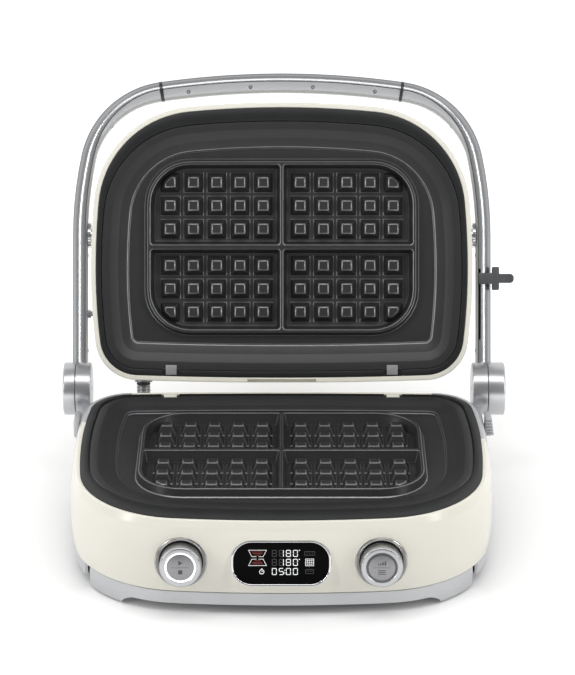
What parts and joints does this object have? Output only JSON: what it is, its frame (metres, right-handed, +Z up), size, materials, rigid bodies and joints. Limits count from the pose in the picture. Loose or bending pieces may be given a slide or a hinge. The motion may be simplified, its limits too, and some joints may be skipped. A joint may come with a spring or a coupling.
{
  "type": "waffle maker",
  "caption": "Two-plate electric waffle maker, cream shells, removable waffle plates, floating lid in an arched metal handle, two knobs and a display.",
  "frame": {"origin": "centre of the open appliance as seen from above, at the height of the table it stands on", "axes": "+X to the right as the user faces it, +Y to the rear, +Z up"},
  "size_m": [0.451, 0.4689, 0.381],
  "materials": {
    "cream_gloss": "gloss",
    "silver_skirt": "satin",
    "dark_plastic": "matte",
    "nonstick_plate": "non-stick coated",
    "black_bezel": "satin",
    "rubber": "matte",
    "satin_aluminium": "satin",
    "die_cast": "satin",
    "chrome": "polished",
    "knob_metal": "spun",
    "button_grey": "satin",
    "light_white": "diffuse",
    "light_grey": "satin",
    "display_glass": "gloss",
    "tray_steel": "pressed",
    "element_steel": "oxidised",
    "circuit_board": "matte",
    "steel": "satin",
    "guard_grey": "satin",
    "lever_grey": "matte"
  },
  "bodies": {
    "base": {"base_shell": "cream_gloss", "base_skirt": "silver_skirt", "bottom_plate": "dark_plastic", "rubber_feet": "rubber", "lower_bezel": "black_bezel", "lower_heater_tray": "tray_steel", "lower_heating_element": "element_steel", "lower_waffle_plate": "nonstick_plate", "lower_plate_catches": "cream_gloss", "tray_posts": "steel", "post_screws": "steel", "side_plug": "cream_gloss", "display_bezel": "chrome", "display_window": "display_glass", "display_module": "dark_plastic", "control_board": "circuit_board", "power_board": "circuit_board", "left_knob_ring": "chrome", "right_knob_ring": "chrome", "left_encoder": "dark_plastic", "right_encoder": "dark_plastic", "left_light_ring": "light_white", "right_light_ring": "light_grey", "left_hinge_bracket": "die_cast", "right_hinge_bracket": "die_cast", "hinge_pins": "steel", "friction_washers": "steel", "release_lever_pin": "steel", "blank_cap": "die_cast", "cord_gland": "rubber", "cable_guard": "guard_grey", "base_gland": "dark_plastic"},
    "arms": {"left_arm_tube": "satin_aluminium", "right_arm_tube": "satin_aluminium", "left_arm_cover": "satin_aluminium", "right_arm_cover": "satin_aluminium", "left_hinge_disc": "die_cast", "right_hinge_disc": "die_cast", "grip_shell": "satin_aluminium", "grip_cover": "satin_aluminium", "grip_rings": "dark_plastic", "grip_screws": "steel", "arm_screws": "steel"},
    "lid": {"lid_shell": "cream_gloss", "lid_bezel": "black_bezel", "upper_heater_tray": "tray_steel", "upper_heating_element": "element_steel", "upper_waffle_plate": "nonstick_plate", "upper_plate_catches": "guard_grey", "left_lid_pivot": "steel", "right_lid_pivot": "steel", "guide_pin": "steel", "lid_gland": "dark_plastic"},
    "height_lever": {"height_lever": "lever_grey"},
    "left_knob": {"left_knob": "knob_metal"},
    "right_knob": {"right_knob": "knob_metal"},
    "left_button": {"left_button": "button_grey"},
    "right_button": {"right_button": "button_grey"},
    "release_lever": {"release_lever": "die_cast"}
  },
  "joints": [
    {"name": "lid_hinge", "type": "hinge", "parent": "base", "child": "arms", "pos_m": [-0.0075, 0.08385, 0.094], "axis": [-1, 0, 0], "range_deg": [-113, 67], "deforming": ["cable_guard"]},
    {"name": "lid_float", "type": "hinge", "parent": "arms", "child": "lid", "pos_m": [-0.0075, 0.15875, 0.22951], "axis": [1, 0, 0], "range_deg": [0, 5]},
    {"name": "height_lever_slide", "type": "slide", "parent": "arms", "child": "height_lever", "axis": [0, 0.3907, 0.9205], "range_m": [-0.055, 0.004]},
    {"name": "left_knob_turn", "type": "hinge", "parent": "base", "child": "left_knob", "pos_m": [-0.0988, -0.21515, 0.055], "axis": [0, -0.9903, 0.1392], "continuous": true},
    {"name": "right_knob_turn", "type": "hinge", "parent": "base", "child": "right_knob", "pos_m": [0.0838, -0.21515, 0.055], "axis": [0, -0.9903, 0.1392], "continuous": true},
    {"name": "left_button_press", "type": "slide", "parent": "base", "child": "left_button", "axis": [0, 0.9903, -0.1392], "range_m": [0, 0.0012], "stiffness_N_per_m": 1200, "springref_m": -0.001},
    {"name": "right_button_press", "type": "slide", "parent": "base", "child": "right_button", "axis": [0, 0.9903, -0.1392], "range_m": [0, 0.0012], "stiffness_N_per_m": 1200, "springref_m": -0.001},
    {"name": "release_lever_press", "type": "hinge", "parent": "base", "child": "release_lever", "pos_m": [0.1915, 0.03385, 0.076], "axis": [1, 0, 0], "range_deg": [0, 10], "stiffness_Nm_per_rad": 0.5, "springref_deg": -5.73}
  ]
}
